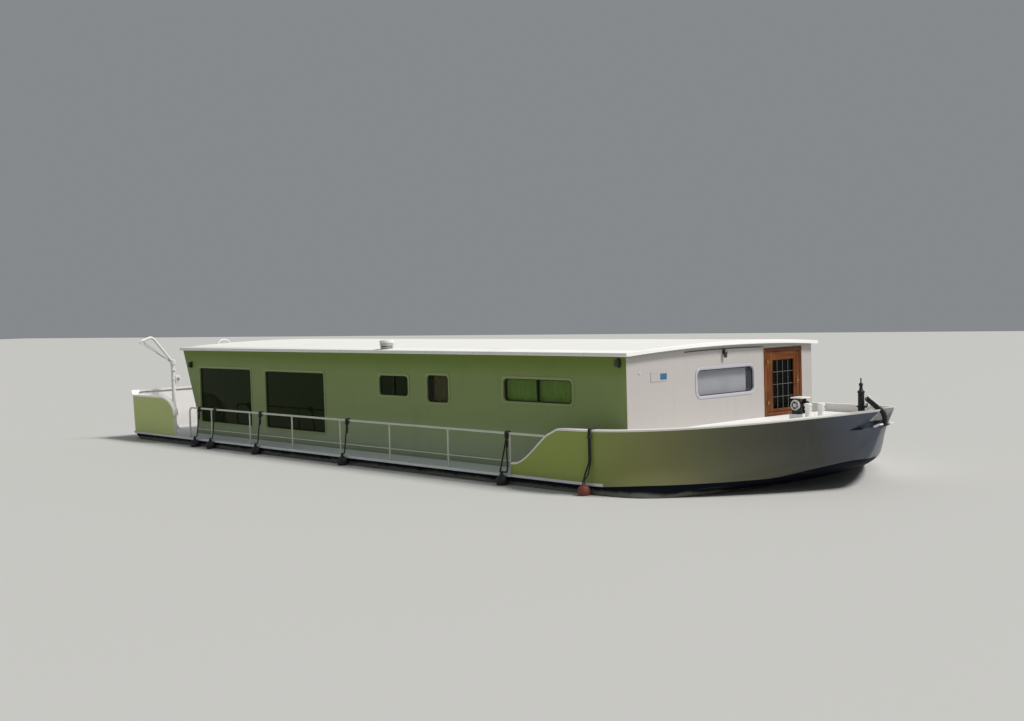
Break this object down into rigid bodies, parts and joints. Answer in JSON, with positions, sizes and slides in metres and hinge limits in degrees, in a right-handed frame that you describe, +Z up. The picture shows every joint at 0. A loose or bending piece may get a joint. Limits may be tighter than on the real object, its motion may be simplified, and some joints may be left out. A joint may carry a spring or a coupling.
{
  "type": "houseboat",
  "caption": "White steel houseboat with a long low cabin, raised bow, side railings, fenders and davit.",
  "frame": {"origin": "on the waterline, on the centreline, at mid-length", "axes": "+X towards the bow, +Y to port, +Z up"},
  "size_m": [16.9007, 5.8486, 3.045],
  "materials": {
    "white_paint": "semi-gloss marine paint, weathered",
    "wall_paint": "semi-gloss marine paint, weathered",
    "bottom_paint": "matt bottom paint",
    "deck_paint": "matt deck paint",
    "roof_paint": "matt roof paint",
    "varnished_wood": "varnished",
    "floor_wood": "oiled",
    "window_glass": "clear, dark inside",
    "black_iron": "painted black",
    "grey_steel": "galvanized",
    "bronze": "cast",
    "rope": "black laid rope with a rubber ball",
    "lamp_body": "matt"
  },
  "bodies": {
    "boat": {"hull": "bottom_paint", "side_deck": "deck_paint", "fore_topside": "white_paint", "fore_cap_starboard": "white_paint", "fore_cap_port": "white_paint", "foredeck": "white_paint", "stern_bulwark": "white_paint", "stern_cap": "white_paint", "roof": "roof_paint", "cabin_side_starboard": "wall_paint", "cabin_side_port": "wall_paint", "cabin_front": "white_paint", "window_front": "window_glass", "cabin_aft": "wall_paint", "window_aft": "window_glass", "front_door_frame": "varnished_wood", "aft_door_frame": "varnished_wood", "cabin_floor": "floor_wood", "entrance_steps": "floor_wood", "railing_starboard": "grey_steel", "railing_port": "grey_steel", "roof_vent": "grey_steel", "roof_hoop": "white_paint", "davit_post": "white_paint", "windlass_frame": "black_iron", "double_bollard": "white_paint", "bow_post": "black_iron", "bow_roller": "grey_steel", "anchor_chain": "black_iron", "lamp_front": "lamp_body", "lamp_side_fore": "lamp_body", "lamp_side_aft": "lamp_body", "name_plate": "white_paint", "skeg": "bottom_paint", "window_starboard_saloon_aft": "window_glass", "window_starboard_saloon_fore": "window_glass", "window_starboard_galley": "window_glass", "window_starboard_washroom": "window_glass", "window_starboard_berth": "window_glass", "window_port_saloon_aft": "window_glass", "window_port_saloon_fore": "window_glass", "window_port_galley": "window_glass", "window_port_washroom": "window_glass", "window_port_berth": "window_glass", "fender_1": "rope", "fender_2": "rope", "fender_3": "rope", "fender_4": "rope", "fender_5": "rope", "fender_6": "rope"},
    "front_door": {"front_door_leaf": "varnished_wood", "front_door_glass": "window_glass"},
    "aft_door": {"aft_door_leaf": "varnished_wood", "aft_door_glass": "window_glass"},
    "davit": {"davit_jib": "white_paint"},
    "windlass": {"windlass_drum": "black_iron"},
    "steering": {"rudder": "bottom_paint"},
    "screw": {"propeller": "bronze"}
  },
  "joints": [
    {"name": "front_door_hinge", "type": "hinge", "parent": "boat", "child": "front_door", "pos_m": [5.6485, 1, 1.3], "axis": [0, 0, 1], "range_deg": [-95, 0]},
    {"name": "aft_door_hinge", "type": "hinge", "parent": "boat", "child": "aft_door", "pos_m": [-6.6385, -1.15, 1], "axis": [0, 0, 1], "range_deg": [0, 95]},
    {"name": "davit_slew", "type": "hinge", "parent": "boat", "child": "davit", "pos_m": [-8.06, -1.97, 1.6], "axis": [0, 0, 1], "range_deg": [-170, 170]},
    {"name": "windlass_turn", "type": "hinge", "parent": "boat", "child": "windlass", "pos_m": [6.64, 0.47, 1.065], "axis": [0, 1, 0], "continuous": true},
    {"name": "rudder_turn", "type": "hinge", "parent": "boat", "child": "steering", "pos_m": [-7.8, 0, -0.5], "axis": [0, 0, 1], "range_deg": [-35, 35]},
    {"name": "propeller_turn", "type": "hinge", "parent": "boat", "child": "screw", "pos_m": [-7.35, 0, -0.565], "axis": [1, 0, 0], "continuous": true}
  ]
}
